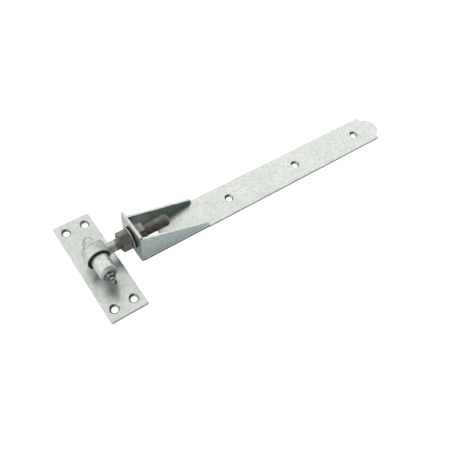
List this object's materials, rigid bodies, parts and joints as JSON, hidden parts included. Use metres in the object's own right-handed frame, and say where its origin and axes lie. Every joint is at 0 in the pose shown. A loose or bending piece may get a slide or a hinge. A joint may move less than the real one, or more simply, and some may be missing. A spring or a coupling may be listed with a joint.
{
  "type": "adjustable strap hinge with hook plate",
  "caption": "Galvanised T-shaped strap hinge for a gate: an eye bolt in a winged strap, with nuts to adjust it, turns on a greased hook pin on a plate.",
  "frame": {"origin": "middle of the hook plate's back, where it lies on the post", "axes": "+X along the strap away from the pin; the pin lies along Y with its free end at -Y; +Z leaves the mounting face"},
  "size_m": [0.511, 0.16, 0.05],
  "materials": {
    "galvanised": "hot-dip galvanised, mottled",
    "dark_steel": "dark dull zinc over rolled thread",
    "plated": "bright zinc plated",
    "spring_steel": "plain spring wire",
    "rubber": "black, dull"
  },
  "bodies": {
    "hook": {"hook_plate": "galvanised", "hook_pin": "galvanised", "seal_ring": "rubber", "grease_nipple_body": "plated", "grease_nipple_spring": "spring_steel"},
    "nipple_ball": {"grease_nipple_ball": "plated"},
    "eye": {"eye_bolt": "galvanised"},
    "band": {"strap": "galvanised", "end_plate": "galvanised", "end_plate_welds": "galvanised", "steel_washer": "plated", "black_washer": "rubber"},
    "outer_nut": {"outer_nut": "dark_steel"},
    "inner_nut": {"inner_nut": "dark_steel"}
  },
  "joints": [
    {"name": "gate_swing", "type": "hinge", "parent": "hook", "child": "eye", "pos_m": [0, 0, 0.026], "axis": [0, -1, 0], "range_deg": [0, 180]},
    {"name": "strap_adjust", "type": "slide", "parent": "eye", "child": "band", "axis": [1, 0, 0], "range_m": [-0.004, 0.03]},
    {"name": "outer_nut_turn", "type": "hinge", "parent": "band", "child": "outer_nut", "pos_m": [0.0376, 0, 0.026], "axis": [1, 0, 0], "range_deg": [-721, 5401]},
    {"name": "inner_nut_turn", "type": "hinge", "parent": "band", "child": "inner_nut", "pos_m": [0.0586, 0, 0.026], "axis": [1, 0, 0], "range_deg": [-721, 5401]},
    {"name": "nipple_ball_press", "type": "slide", "parent": "hook", "child": "nipple_ball", "axis": [0, 1, 0], "range_m": [0, 0.0008], "stiffness_N_per_m": 300, "deforming": ["grease_nipple_spring"]}
  ],
  "couplings": [
    {"joint": "outer_nut_turn", "follows": "strap_adjust", "rad_per_m": 3141.6},
    {"joint": "inner_nut_turn", "follows": "strap_adjust", "rad_per_m": 3141.6}
  ]
}
